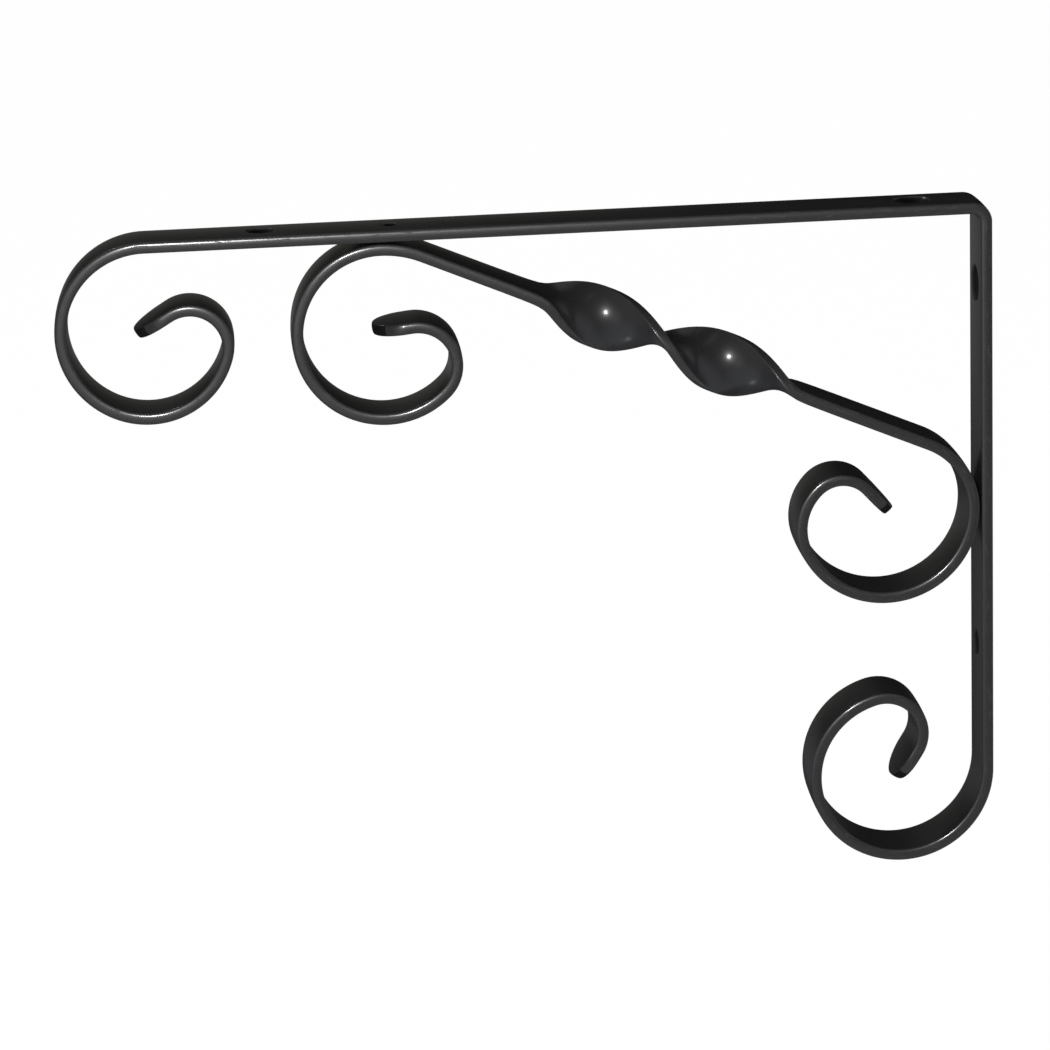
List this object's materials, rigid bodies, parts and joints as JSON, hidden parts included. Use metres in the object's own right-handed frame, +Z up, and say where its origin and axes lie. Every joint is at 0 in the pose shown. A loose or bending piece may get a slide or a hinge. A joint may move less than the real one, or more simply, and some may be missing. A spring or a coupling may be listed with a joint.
{
  "type": "shelf bracket",
  "caption": "Scrolled flat-bar shelf bracket with a twisted brace, painted black, drilled and countersunk for screws in both arms.",
  "frame": {"origin": "on the wall face, midway between the two wall screws; the shelf face is the plane Z=0.088", "axes": "+Z up to the shelf, +X into the wall, Y along the wall; the shelf arm runs towards -X and the wall arm towards -Z"},
  "size_m": [0.297, 0.0202, 0.219],
  "materials": {
    "black_paint": "semi-gloss black paint over rolled flat steel"
  },
  "bodies": {
    "root": {"arm_bar": "black_paint", "twisted_brace": "black_paint"}
  },
  "joints": []
}
